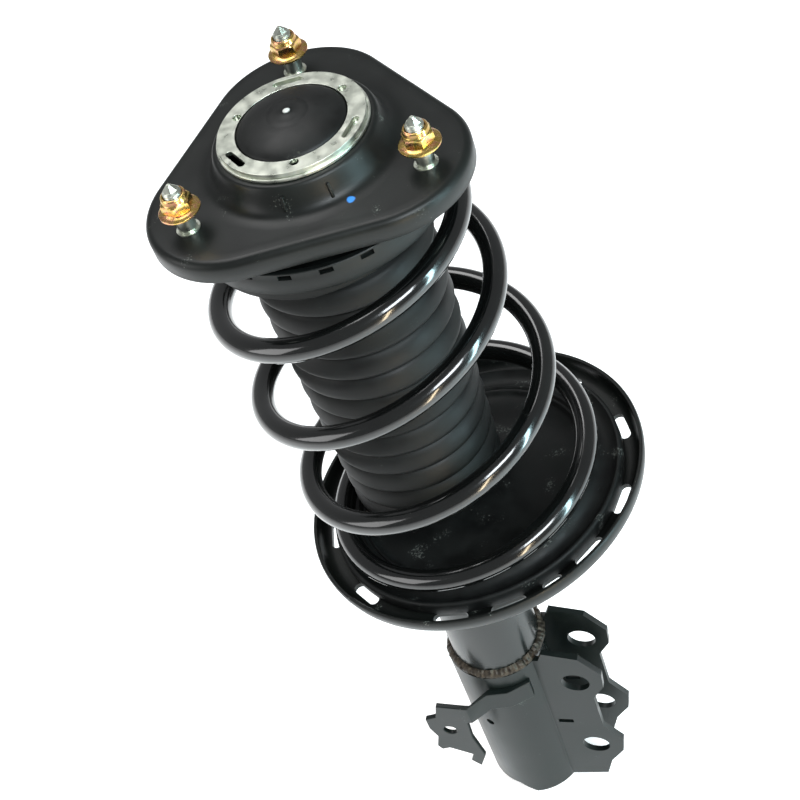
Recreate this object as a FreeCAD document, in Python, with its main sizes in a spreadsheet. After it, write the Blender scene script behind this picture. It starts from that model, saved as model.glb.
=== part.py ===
"""Front suspension strut assembly, as a parametric document.

Frame: millimetres, +Z up along the damper axis. The origin is the centre of the three mounting
studs, on the top face of the mount plate. +X points outward, from the damper to the knuckle.
"""
import FreeCAD, Part
import math
import os
import re

import Sketcher

doc = FreeCAD.newDocument("strut_assembly")

# ---------------------------------------------------------------- driving dimensions

DIMENSIONS = {
    # mount plate: a rounded triangle with a turned-down rim and a raised boss
    "corner_reach": 33.5,
    "corner_radius": 41,
    "plate_wall": 3,
    "rim_depth": 10,
    "rim_bend": 3.5,
    "boss_foot": 38.5,
    "boss_neck": 35.4,
    "boss_rise": 12.2,
    "boss_mouth": 27,
    # studs and flange nuts, M8
    "stud_circle": 58,
    "stud_azimuth": 106.9,
    "stud_radius": 4,
    "thread_radius": 3.8,
    "stud_head": 7,
    "stud_reach": 23.8,
    "nut_seat": 10,
    "nut_flats": 12,
    "nut_flange": 8.95,
    "nut_rise": 9,
    "nut_bore": 4.08,
    # zinc rings and dust cap
    "ring_outer": 32.1,
    "ring_inner": 24.2,
    "ring_wall": 1.9,
    "cap_radius": 23.9,
    "cap_wall": 1.8,
    "cap_top": 22.7,
    # rod, core and rubber of the mount
    "neck_radius": 7,
    "rod_radius": 10,
    "rod_shoulder": -18,
    "core_radius": 14,
    "core_top": 2,
    "washer_wall": 2.5,
    "rod_nut_flats": 21,
    "rod_nut_rise": 8,
    "shell_radius": 32.8,
    "shell_wall": 2,
    # bearing
    "ball_circle": 43,
    "ball_radius": 2.5,
    "ball_count": 24,
    "race_bottom": -9.3,
    "ball_height": -12,
    "housing_radius": 59,
    "housing_top": -13.5,
    "housing_floor": -17,
    "housing_bottom": -25,
    "notch_count": 21,
    "notch_width": 5.5,
    "notch_depth": 4,
    # upper seat and its rubber
    "seat_top": -20,
    "seat_wall": 2.5,
    "collar_radius": 32,
    "collar_bottom": -44,
    "insulator_rise": 9,
    # spring, on its own axis that leans outward towards the bottom
    "spring_lean": 7.5,
    "lean_azimuth": -9,
    "spring_top": -39.5,
    "spring_height": 178,
    "coil_top": 57.6,
    "coil_bottom": 68.6,
    "coil_swell": 1.3,
    "coil_bow_out": 1.9,
    "coil_bow_side": 10,
    "coil_phase": 43.4,
    "coil_start": -0.43,
    "coil_end": 4.06,
    "coil_ease_top": 1.55,
    "coil_ease_bottom": 1.34,
    "first_turn": -0.3,
    "last_turn": 3.8,
    "wire_radius": 5.5,
    # boot and bump stop
    "boot_top": -36,
    "boot_bottom": -212,
    "boot_radius_top": 42.7,
    "boot_radius_bottom": 38.8,
    "boot_fold": 5.5,
    "boot_wall": 1.6,
    "boot_folds": 12,
    "bump_radius": 21,
    "bump_bottom": -82,
    # damper
    "tube_radius": 25.5,
    "tube_wall": 2.1,
    "tube_top": -200,
    "tube_bottom": -490,
    "bore_radius": 16,
    "cylinder_wall": 2,
    "cylinder_bottom": -480,
    "guide_top": -207,
    "guide_floor": -220,
    "guide_bottom": -228,
    "running_gap": 0.05,
    "stop_top": -228.5,
    "piston_top": -248,
    "piston_bottom": -268,
    "rod_end": -282,
    # lower seat, in the leaning frame: height 0 is the middle of the last coil
    "pan_radius": 88.3,
    "pan_floor": -9,
    "pan_wall": 2.5,
    "pad_radius": 76.8,
    "slot_circle": 78.6,
    "slot_width": 5.5,
    "slot_length": 18,
    "sleeve_wall": 3,
    "sleeve_bottom": -268,
    # knuckle bracket and hose bracket
    "bracket_wall": 3.5,
    "bracket_top": -368,
    "bracket_bottom": -500,
    "ear_face": 13.1,
    "bolt_reach": 44.5,
    "bolt_upper": -390.5,
    "bolt_spacing": 70,
    "bolt_radius": 8.2,
    "drain_azimuth": -112,
    "drain_radius": 2.6,
    "hose_face": -40,
    "hose_hole_x": -28.5,
    "hose_hole_z": -403,
    "hose_hole_radius": 4,
}

sheet = doc.addObject("Spreadsheet::Sheet", "size")
for row, (alias, number) in enumerate(DIMENSIONS.items(), start=1):
    sheet.set("A%d" % row, alias)
    sheet.set("B%d" % row, str(number))
    sheet.setAlias("B%d" % row, alias)
doc.recompute()

WORD = re.compile(r"[a-z][a-z_]*")
NODES = []


def bound(text):
    """Turn a formula of dimension names into a spreadsheet expression."""
    return WORD.sub(lambda word: "size." + word.group() if word.group() in DIMENSIONS else word.group(), text)


def value(text):
    """Number that a formula of dimension names gives now."""
    return float(sheet.evalExpression(bound(text)))


def keep(item, label):
    """Name a finished sub-part."""
    item.Label = label
    NODES.append(item)
    return item


# ---------------------------------------------------------------- sketch and body helpers


def new_body(name):
    return doc.addObject("PartDesign::Body", name)


def new_sketch(body, role, height="0"):
    """Sketch on one of the body's own origin planes, lifted along the plane's normal."""
    sketch = body.newObject("Sketcher::SketchObject", body.Name + "_sketch")
    plane = next(item for item in body.Origin.OriginFeatures if item.Role == role)
    sketch.AttachmentSupport = [(plane, "")]
    sketch.MapMode = "FlatFace"
    sketch.setExpression("AttachmentOffset.Base.z", bound(height))
    return sketch


def fix(sketch, kind, geometry, point, text):
    """Bind one coordinate or radius of a sketch to the sheet."""
    if kind == "Radius":
        rule = Sketcher.Constraint(kind, geometry, value(text))
    else:
        rule = Sketcher.Constraint(kind, -1, 1, geometry, point, value(text))
    index = sketch.addConstraint(rule)
    sketch.setExpression("Constraints[%d]" % index, bound(text))


def polygon(sketch, corners):
    """Closed outline; each corner is a pair of formulas."""
    places = [FreeCAD.Vector(value(across), value(up), 0) for across, up in corners]
    following = places[1:] + places[:1]
    first = sketch.GeometryCount
    sketch.addGeometry([Part.LineSegment(start, end) for start, end in zip(places, following)])
    count = len(places)
    joints = []
    for index in range(count):
        joints.append(Sketcher.Constraint("Coincident", first + index, 2, first + (index + 1) % count, 1))
    sketch.addConstraint(joints)
    for index, (across, up) in enumerate(corners):
        fix(sketch, "DistanceX", first + index, 1, across)
        fix(sketch, "DistanceY", first + index, 1, up)


def circle(sketch, across, up, radius):
    centre = FreeCAD.Vector(value(across), value(up), 0)
    index = sketch.addGeometry(Part.Circle(centre, FreeCAD.Vector(0, 0, 1), value(radius)))
    fix(sketch, "DistanceX", index, 3, across)
    fix(sketch, "DistanceY", index, 3, up)
    fix(sketch, "Radius", index, 0, radius)


def rounded_triangle(sketch, radius):
    """Three corner arcs about the stud azimuths, joined by tangent lines."""
    arcs = []
    for turn in (0, 120, 240):
        azimuth = value("stud_azimuth") + turn
        axis = FreeCAD.Rotation(FreeCAD.Vector(0, 0, 1), azimuth).multVec(FreeCAD.Vector(1, 0, 0))
        ring = Part.Circle(axis * value("corner_reach"), FreeCAD.Vector(0, 0, 1), value(radius))
        ends = (math.radians(azimuth - 60), math.radians(azimuth + 60))
        arcs.append(sketch.addGeometry(Part.ArcOfCircle(ring, *ends)))
    for index, arc in enumerate(arcs):
        following = arcs[(index + 1) % 3]
        start = sketch.getPoint(arc, 2)
        end = sketch.getPoint(following, 1)
        side = sketch.addGeometry(Part.LineSegment(start, end))
        sketch.addConstraint(Sketcher.Constraint("Tangent", arc, 2, side, 1))
        sketch.addConstraint(Sketcher.Constraint("Tangent", side, 2, following, 1))
    for turn, arc in zip((0, 120, 240), arcs):
        fix(sketch, "DistanceX", arc, 3, "corner_reach * cos(stud_azimuth + %d)" % turn)
        fix(sketch, "DistanceY", arc, 3, "corner_reach * sin(stud_azimuth + %d)" % turn)
        fix(sketch, "Radius", arc, 0, radius)


def revolve(body, corners, kind="Revolution", angle="360"):
    """Turn an outline of (radius, height) corners about the body's Z axis."""
    sketch = new_sketch(body, "XZ_Plane")
    polygon(sketch, corners)
    feature = body.newObject("PartDesign::" + kind, body.Name + "_turned")
    feature.Profile = sketch
    feature.ReferenceAxis = (sketch, ["V_Axis"])
    feature.setExpression("Angle", bound(angle))
    return feature


def turned(label, corners):
    """A finished piece turned from one outline."""
    body = new_body(label)
    revolve(body, corners)
    return keep(body, label)


def extrude(body, sketch, length, kind="Pad", reverse=False, middle=False):
    feature = body.newObject("PartDesign::" + kind, body.Name + "_" + kind.lower())
    feature.Profile = sketch
    feature.setExpression("Length", bound(length))
    feature.Reversed = reverse
    feature.Midplane = middle
    return feature


def ring_of_pockets(body, sketch, depth, count):
    """Pocket one sketch and repeat it round the Z axis."""
    pocket = extrude(body, sketch, depth, "Pocket")
    pattern = body.newObject("PartDesign::PolarPattern", body.Name + "_pattern")
    pattern.Originals = [pocket]
    pattern.Axis = (sketch, ["N_Axis"])
    pattern.Angle = 360
    pattern.setExpression("Occurrences", bound(count))
    body.Tip = pattern
    return pattern


def slot(sketch, azimuth, circle_radius, length, width):
    """Straight slot across a radius: two half circles and two lines."""
    turn = FreeCAD.Rotation(FreeCAD.Vector(0, 0, 1), azimuth)
    half = value(width) / 2
    reach = value(length) / 2 - half
    along = [FreeCAD.Vector(value(circle_radius), shift, 0) for shift in (-reach, reach)]
    ends = [turn.multVec(place) for place in along]
    outward = turn.multVec(FreeCAD.Vector(half, 0, 0))
    onward = turn.multVec(FreeCAD.Vector(0, half, 0))
    edges = [
        Part.Arc(ends[0] + outward, ends[0] - onward, ends[0] - outward),
        Part.LineSegment(ends[0] - outward, ends[1] - outward),
        Part.Arc(ends[1] - outward, ends[1] + onward, ends[1] + outward),
        Part.LineSegment(ends[1] + outward, ends[0] + outward),
    ]
    count = sketch.GeometryCount
    sketch.addGeometry(edges)
    for index in range(4):
        sketch.addConstraint(Sketcher.Constraint("Block", count + index))


# ---------------------------------------------------------------- primitive helpers


def primitive(kind, name, **sizes):
    """Part primitive whose properties are formulas of the sheet."""
    item = doc.addObject("Part::" + kind, name)
    for key, text in sizes.items():
        item.setExpression(key, bound(text))
    return item


def place(item, across="0", depth="0", up="0"):
    for axis, text in zip("xyz", (across, depth, up)):
        item.setExpression("Placement.Base." + axis, bound(text))
    return item


def cut(name, base, tool):
    item = doc.addObject("Part::Cut", name)
    item.Base = base
    item.Tool = tool
    return item


def fuse(name, shapes):
    item = doc.addObject("Part::MultiFuse", name)
    item.Shapes = shapes
    return item


def group(label, items):
    """Identical pieces that share one node."""
    item = doc.addObject("Part::Compound", label)
    item.Links = items
    return keep(item, label)


def leaning(across, depth, up):
    """Placement in the spring's frame, whose axis leans outward towards the bottom."""
    heading = FreeCAD.Rotation(FreeCAD.Vector(0, 0, 1), value("lean_azimuth"))
    tilt = FreeCAD.Rotation(FreeCAD.Vector(0, 1, 0), -value("spring_lean"))
    return FreeCAD.Placement(FreeCAD.Vector(across, depth, up), heading.multiply(tilt))


def along_spring(distance):
    """Placement on the spring's axis, this far below its top coil."""
    top = leaning(0, 0, value("spring_top"))
    base = top.multVec(FreeCAD.Vector(0, 0, -distance))
    return leaning(base.x, base.y, base.z)


# ---------------------------------------------------------------- top mount


def mount_plate():
    body = new_body("mount_plate")
    outline = new_sketch(body, "XY_Plane")
    rounded_triangle(outline, "corner_radius")
    extrude(body, outline, "rim_depth", reverse=True)
    inside = new_sketch(body, "XY_Plane", "-plate_wall")
    rounded_triangle(inside, "corner_radius - plate_wall")
    extrude(body, inside, "rim_depth", "Pocket")
    opening = new_sketch(body, "XY_Plane")
    circle(opening, "0", "0", "boss_foot")
    extrude(body, opening, "2 * plate_wall", "Pocket", middle=True)
    revolve(body, [
        ("boss_foot + 6", "-plate_wall"),
        ("boss_foot + 6", "0"),
        ("boss_foot + 2", "1"),
        ("boss_foot", "3"),
        ("boss_neck", "boss_rise"),
        ("boss_mouth", "boss_rise"),
        ("boss_mouth", "boss_rise - 2.5"),
        ("boss_neck - 2.3", "boss_rise - 2.5"),
        ("boss_foot - 2.6", "2"),
        ("boss_foot - 1", "-plate_wall"),
    ])
    holes = new_sketch(body, "XY_Plane")
    for turn in (0, 120, 240):
        across = "stud_circle * cos(stud_azimuth + %d)" % turn
        up = "stud_circle * sin(stud_azimuth + %d)" % turn
        circle(holes, across, up, "stud_radius + 0.4")
    last = extrude(body, holes, "4 * plate_wall", "Pocket", middle=True)
    doc.recompute()
    bend = body.newObject("PartDesign::Fillet", "mount_plate_bend")
    bend.Base = (last, rim_edges(last.Shape))
    bend.setExpression("Radius", bound("rim_bend"))
    keep(body, "mount_plate")


def rim_edges(shape):
    """Outline edges of the plate's top face."""
    names = []
    for index, edge in enumerate(shape.Edges, start=1):
        box = edge.BoundBox
        reach = edge.CenterOfMass.Length
        if abs(box.ZMin) < 0.01 and abs(box.ZMax) < 0.01 and reach > value("boss_foot") + 12 and edge.Length > 30:
            names.append("Edge%d" % index)
    return names


def studs():
    pieces = []
    for index, turn in enumerate((0, 120, 240), start=1):
        body = new_body("stud_%d" % index)
        revolve(body, [
            ("0", "-2 * plate_wall"),
            ("stud_head", "-2 * plate_wall"),
            ("stud_head", "-plate_wall"),
            ("stud_radius + 0.4", "-plate_wall"),
            ("stud_radius + 0.4", "0"),
            ("stud_radius", "0"),
            ("stud_radius", "nut_seat - 0.2"),
            ("thread_radius", "nut_seat - 0.2"),
            ("thread_radius", "stud_reach - 3"),
            ("thread_radius - 1.6", "stud_reach"),
            ("0", "stud_reach"),
        ])
        across = "stud_circle * cos(stud_azimuth + %d)" % turn
        depth = "stud_circle * sin(stud_azimuth + %d)" % turn
        pieces.append(place(body, across, depth))
    group("mount_studs", pieces)


def flange_nut(index, turn):
    """Hexagon with a flange under it and a round collar on top."""
    name = "flange_nut_%d" % index
    hexagon = primitive("Prism", name + "_hex", Circumradius="nut_flats / sqrt(3)", Height="nut_rise - 3.2")
    hexagon.Polygon = 6
    place(hexagon, up="1.8")
    flange = primitive("Cone", name + "_flange", Radius1="nut_flange", Radius2="nut_flats / 2", Height="2")
    collar = primitive("Cylinder", name + "_collar", Radius="nut_flats / 2 - 0.6", Height="1.6")
    place(collar, up="nut_rise - 1.6")
    bore = primitive("Cylinder", name + "_bore", Radius="nut_bore", Height="3 * nut_rise")
    place(bore, up="-nut_rise")
    body = cut(name, fuse(name + "_body", [flange, hexagon, collar]), bore)
    across = "stud_circle * cos(stud_azimuth + %d)" % turn
    depth = "stud_circle * sin(stud_azimuth + %d)" % turn
    keep(place(body, across, depth, "nut_seat"), name)


def retainer_rings():
    """Two zinc-plated rings; the upper one has three arc slots and three round holes."""
    turned("retainer_ring_lower", [
        ("ring_inner + 1", "boss_rise"),
        ("ring_outer + 1", "boss_rise"),
        ("ring_outer + 1", "boss_rise + ring_wall - 0.2"),
        ("ring_inner + 1", "boss_rise + ring_wall - 0.2"),
    ])
    body = new_body("retainer_ring")
    revolve(body, [
        ("ring_inner", "boss_rise + ring_wall - 0.2"),
        ("ring_outer", "boss_rise + ring_wall - 0.2"),
        ("ring_outer", "boss_rise + 2 * ring_wall"),
        ("ring_inner", "boss_rise + 2 * ring_wall"),
    ])
    windows = new_sketch(body, "XY_Plane", "boss_rise + 2 * ring_wall")
    slot(windows, value("stud_azimuth"), "(ring_inner + ring_outer) / 2", "13", "3")
    across = "(ring_inner + 2.2) * cos(stud_azimuth + 60)"
    up = "(ring_inner + 2.2) * sin(stud_azimuth + 60)"
    circle(windows, across, up, "1.9")
    ring_of_pockets(body, windows, "3 * ring_wall", "3")
    keep(body, "retainer_ring")


def mount_core():
    """Shell, rubber, core and the clamped rod end, from the outside in."""
    turned("mount_shell", [
        ("shell_radius - shell_wall", "boss_rise - 2.7"),
        ("shell_radius", "boss_rise - 2.7"),
        ("shell_radius", "-plate_wall"),
        ("50", "-plate_wall"),
        ("50", "-plate_wall - shell_wall"),
        ("shell_radius - shell_wall", "-plate_wall - shell_wall"),
    ])
    turned("mount_isolator", [
        ("core_radius", "core_top - 2"),
        ("core_radius + 8", "-1"),
        ("shell_radius - shell_wall", "5"),
        ("shell_radius - shell_wall", "-plate_wall - shell_wall"),
        ("core_radius + 8", "-12"),
        ("core_radius", "-14"),
    ])
    turned("mount_core", [
        ("neck_radius", "rod_shoulder"),
        ("core_radius", "rod_shoulder"),
        ("core_radius", "core_top"),
        ("neck_radius", "core_top"),
    ])
    turned("rod_washer", [
        ("neck_radius", "core_top"),
        ("core_radius + 3", "core_top"),
        ("core_radius + 3", "core_top + washer_wall"),
        ("neck_radius", "core_top + washer_wall"),
    ])
    hexagon = primitive("Prism", "rod_nut_hex", Circumradius="rod_nut_flats / sqrt(3)", Height="rod_nut_rise")
    hexagon.Polygon = 6
    bore = primitive("Cylinder", "rod_nut_bore", Radius="neck_radius", Height="rod_nut_rise")
    keep(place(cut("rod_nut", hexagon, bore), up="core_top + washer_wall"), "rod_nut")
    turned("dust_cap", [
        ("0", "cap_top"),
        ("1.6", "cap_top"),
        ("2.2", "cap_top - 1"),
        ("0.38 * cap_radius", "cap_top - 1.5"),
        ("0.68 * cap_radius", "cap_top - 3"),
        ("0.9 * cap_radius", "cap_top - 5"),
        ("cap_radius", "cap_top - 6.6"),
        ("cap_radius", "boss_rise + 0.4"),
        ("cap_radius - cap_wall", "boss_rise + 0.4"),
        ("cap_radius - cap_wall", "cap_top - 7.4"),
        ("0.65 * cap_radius", "cap_top - 3 - cap_wall"),
        ("0.36 * cap_radius", "cap_top - 1.5 - cap_wall"),
        ("0", "cap_top - 1 - cap_wall"),
    ])


# ---------------------------------------------------------------- bearing and upper seat


def bearing():
    turned("bearing_upper_race", [
        ("ball_circle - 8", "race_bottom"),
        ("ball_circle + 8", "race_bottom"),
        ("ball_circle + 8", "-plate_wall - shell_wall"),
        ("ball_circle - 8", "-plate_wall - shell_wall"),
    ])
    cage = new_body("bearing_cage")
    revolve(cage, [
        ("ball_circle - 4.5", "ball_height - 1"),
        ("ball_circle + 4.5", "ball_height - 1"),
        ("ball_circle + 4.5", "ball_height + 1"),
        ("ball_circle - 4.5", "ball_height + 1"),
    ])
    pockets = new_sketch(cage, "XY_Plane", "ball_height + 3")
    circle(pockets, "ball_circle", "0", "ball_radius + 0.15")
    ring_of_pockets(cage, pockets, "6", "ball_count")
    keep(cage, "bearing_cage")
    balls = []
    for index in range(int(value("ball_count"))):
        ball = primitive("Sphere", "ball_%d" % (index + 1), Radius="ball_radius")
        across = "ball_circle * cos(360 / ball_count * %d)" % index
        depth = "ball_circle * sin(360 / ball_count * %d)" % index
        balls.append(place(ball, across, depth, "ball_height"))
    group("bearing_balls", balls)
    housing = new_body("bearing_lower_race")
    revolve(housing, [
        ("ball_circle - 8", "seat_top"),
        ("housing_radius - 2.5", "seat_top"),
        ("housing_radius - 2.5", "housing_bottom"),
        ("housing_radius", "housing_bottom"),
        ("housing_radius", "housing_top"),
        ("housing_radius - 2.5", "housing_top"),
        ("housing_radius - 2.5", "housing_floor"),
        ("ball_circle + 5", "housing_floor"),
        ("ball_circle + 5", "ball_height - ball_radius - 0.2"),
        ("ball_circle - 8", "ball_height - ball_radius - 0.2"),
    ])
    notch = new_sketch(housing, "XY_Plane", "housing_top + 1")
    polygon(notch, [
        ("housing_radius - 4", "-notch_width / 2"),
        ("housing_radius + 3", "-notch_width / 2"),
        ("housing_radius + 3", "notch_width / 2"),
        ("housing_radius - 4", "notch_width / 2"),
    ])
    ring_of_pockets(housing, notch, "notch_depth", "notch_count")
    keep(housing, "bearing_lower_race")


def upper_seat():
    turned("upper_spring_seat", [
        ("collar_radius - 2", "seat_top"),
        ("housing_radius - 3", "seat_top"),
        ("housing_radius - 3", "seat_top - seat_wall"),
        ("collar_radius", "seat_top - seat_wall"),
        ("collar_radius", "collar_bottom"),
        ("collar_radius - 2", "collar_bottom"),
    ])
    block = primitive("Cylinder", "insulator_block", Radius="housing_radius - 3.5", Height="insulator_rise")
    place(block, up="seat_top - seat_wall - insulator_rise")
    bore = primitive("Cylinder", "insulator_bore", Radius="collar_radius", Height="60")
    place(bore, up="seat_top - 50")
    below = primitive("Cylinder", "insulator_below", Radius="120", Height="60")
    below.Placement = along_spring(60 - value("wire_radius") - 0.3)
    keep(cut("upper_insulator", block, fuse("insulator_tool", [bore, below])), "upper_insulator")


# ---------------------------------------------------------------- spring, boot and bump stop


def coil_drop(turn):
    """Distance below the top coil after this many turns; the pitch closes up towards both seats."""
    ease_in, ease_out = value("coil_ease_top"), value("coil_ease_bottom")
    run = value("coil_end - coil_start")
    pitch = value("spring_height") / (run - (ease_in + ease_out) / 2)
    gone = min(max(turn - value("coil_start"), 0), run)
    rising = min(gone, ease_in)
    level = min(max(gone - ease_in, 0), run - ease_in - ease_out)
    falling = max(gone - (run - ease_out), 0)
    return pitch * (rising * rising / (2 * ease_in) + level + falling - falling * falling / (2 * ease_out))


def coil_spring():
    """Side-load coil: tapered, with its pitch closing up at both ends and its middle bowed to one side."""
    steps = 98
    first, last = value("first_turn"), value("last_turn")
    points = []
    for step in range(steps + 1):
        turn = first + (last - first) * step / steps
        share = step / steps
        swell = 4 * share * (1 - share)
        radius = value("coil_top") + value("coil_bottom - coil_top") * share + value("coil_swell") * swell
        angle = math.radians(value("coil_phase") - 360 * turn)
        across = radius * math.cos(angle) + value("coil_bow_out") * swell
        depth = radius * math.sin(angle) - value("coil_bow_side") * swell
        points.append(FreeCAD.Vector(across, depth, -coil_drop(turn)))
    path = Part.BSplineCurve()
    path.interpolate(points)
    section = Part.Circle(points[0], path.tangent(path.FirstParameter)[0], value("wire_radius"))
    sweep = Part.BRepOffsetAPI.MakePipeShell(Part.Wire([path.toShape()]))
    sweep.setBiNormalMode(FreeCAD.Vector(0, 0, 1))
    sweep.add(Part.Wire(section.toShape()), False, False)
    sweep.build()
    sweep.makeSolid()
    item = doc.addObject("Part::Feature", "coil_spring")
    item.Shape = sweep.shape()
    item.Placement = along_spring(0)
    keep(item, "coil_spring")


def dust_boot():
    """Bellows; each fold is a ridge and a valley, and the inside follows the outside."""
    count = int(value("boot_folds"))
    outer = [("collar_radius + 2.3", "boot_top"), ("collar_radius + 2.3", "boot_top - 8")]
    inner = [("collar_radius + 0.5", "boot_top"), ("collar_radius + 0.5", "boot_top - 8")]
    for fold in range(count):
        ridge = "boot_radius_top + (boot_radius_bottom - boot_radius_top) * %d / (boot_folds - 1)" % fold
        step = "(boot_top - 8 + (boot_bottom - boot_top + 8) * (%d + %s) / boot_folds)"
        outer.append((ridge, step % (fold, "0.7")))
        inner.append((ridge + " - boot_wall", step % (fold, "0.7")))
        outer.append((ridge + " - boot_fold", step % (fold, "1")))
        inner.append((ridge + " - boot_fold - boot_wall", step % (fold, "1")))
    turned("dust_boot", outer + inner[::-1])


def bump_stop():
    turned("bump_cup", [
        ("rod_radius + 0.4", "rod_shoulder"),
        ("bump_radius + 3", "rod_shoulder"),
        ("bump_radius + 3", "rod_shoulder - 12"),
        ("bump_radius + 1.5", "rod_shoulder - 12"),
        ("bump_radius + 1.5", "rod_shoulder - 2"),
        ("rod_radius + 0.4", "rod_shoulder - 2"),
    ])
    turned("bump_stop", [
        ("rod_radius + 0.4", "rod_shoulder - 2"),
        ("bump_radius + 1.5", "rod_shoulder - 2"),
        ("bump_radius + 1.5", "rod_shoulder - 16"),
        ("bump_radius - 3", "rod_shoulder - 22"),
        ("bump_radius", "rod_shoulder - 30"),
        ("bump_radius - 5", "rod_shoulder - 40"),
        ("bump_radius - 2", "rod_shoulder - 50"),
        ("bump_radius - 7", "bump_bottom"),
        ("rod_radius + 0.4", "bump_bottom"),
    ])


# ---------------------------------------------------------------- damper


def rod_and_piston():
    turned("piston_rod", [
        ("0", "rod_end"),
        ("6", "rod_end"),
        ("6", "piston_top"),
        ("rod_radius", "piston_top"),
        ("rod_radius", "rod_shoulder"),
        ("neck_radius", "rod_shoulder"),
        ("neck_radius", "boss_rise + 1.2"),
        ("neck_radius - 1", "boss_rise + 1.8"),
        ("0", "boss_rise + 1.8"),
    ])
    turned("rebound_stop", [
        ("rod_radius", "stop_top - 9"),
        ("bore_radius - 1", "stop_top - 9"),
        ("bore_radius - 1", "stop_top"),
        ("rod_radius", "stop_top"),
    ])
    turned("piston", [
        ("6", "piston_bottom"),
        ("bore_radius - 0.4", "piston_bottom"),
        ("bore_radius - 0.4", "piston_bottom + 6"),
        ("bore_radius - 1.5", "piston_bottom + 6"),
        ("bore_radius - 1.5", "piston_top - 6"),
        ("bore_radius - 0.4", "piston_top - 6"),
        ("bore_radius - 0.4", "piston_top"),
        ("6", "piston_top"),
    ])
    turned("piston_band", [
        ("bore_radius - 1.5", "piston_bottom + 6"),
        ("bore_radius - running_gap", "piston_bottom + 6"),
        ("bore_radius - running_gap", "piston_top - 6"),
        ("bore_radius - 1.5", "piston_top - 6"),
    ])
    hexagon = primitive("Prism", "piston_nut_hex", Circumradius="17 / sqrt(3)", Height="8")
    hexagon.Polygon = 6
    bore = primitive("Cylinder", "piston_nut_bore", Radius="6", Height="8")
    keep(place(cut("piston_nut", hexagon, bore), up="piston_bottom - 8"), "piston_nut")


def tube_and_guide():
    turned("strut_tube", [
        ("tube_radius - tube_wall", "tube_bottom"),
        ("tube_radius", "tube_bottom"),
        ("tube_radius", "tube_top"),
        ("bore_radius - 2", "tube_top"),
        ("bore_radius - 2", "tube_top - tube_wall"),
        ("tube_radius - tube_wall", "tube_top - tube_wall"),
    ])
    turned("rod_seal", [
        ("rod_radius + running_gap", "guide_top"),
        ("tube_radius - tube_wall", "guide_top"),
        ("tube_radius - tube_wall", "tube_top - tube_wall"),
        ("rod_radius + running_gap", "tube_top - tube_wall"),
    ])
    turned("rod_guide", [
        ("rod_radius + 1.5", "guide_bottom"),
        ("bore_radius", "guide_bottom"),
        ("bore_radius", "guide_floor"),
        ("tube_radius - tube_wall", "guide_floor"),
        ("tube_radius - tube_wall", "guide_top"),
        ("rod_radius + 1.5", "guide_top"),
    ])
    turned("guide_bush", [
        ("rod_radius + running_gap", "guide_bottom"),
        ("rod_radius + 1.5", "guide_bottom"),
        ("rod_radius + 1.5", "guide_top"),
        ("rod_radius + running_gap", "guide_top"),
    ])
    turned("pressure_tube", [
        ("bore_radius", "cylinder_bottom"),
        ("bore_radius + cylinder_wall", "cylinder_bottom"),
        ("bore_radius + cylinder_wall", "guide_floor"),
        ("bore_radius", "guide_floor"),
    ])
    turned("base_valve", [
        ("0", "cylinder_bottom - 6"),
        ("bore_radius + cylinder_wall", "cylinder_bottom - 6"),
        ("bore_radius + cylinder_wall", "cylinder_bottom"),
        ("bore_radius", "cylinder_bottom"),
        ("bore_radius", "cylinder_bottom + 6"),
        ("0", "cylinder_bottom + 6"),
    ])
    turned("tube_base", [
        ("0", "tube_bottom + 3"),
        ("tube_radius - tube_wall", "tube_bottom + 3"),
        ("tube_radius - tube_wall", "cylinder_bottom - 6"),
        ("0", "cylinder_bottom - 6"),
    ])


# ---------------------------------------------------------------- lower seat


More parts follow.
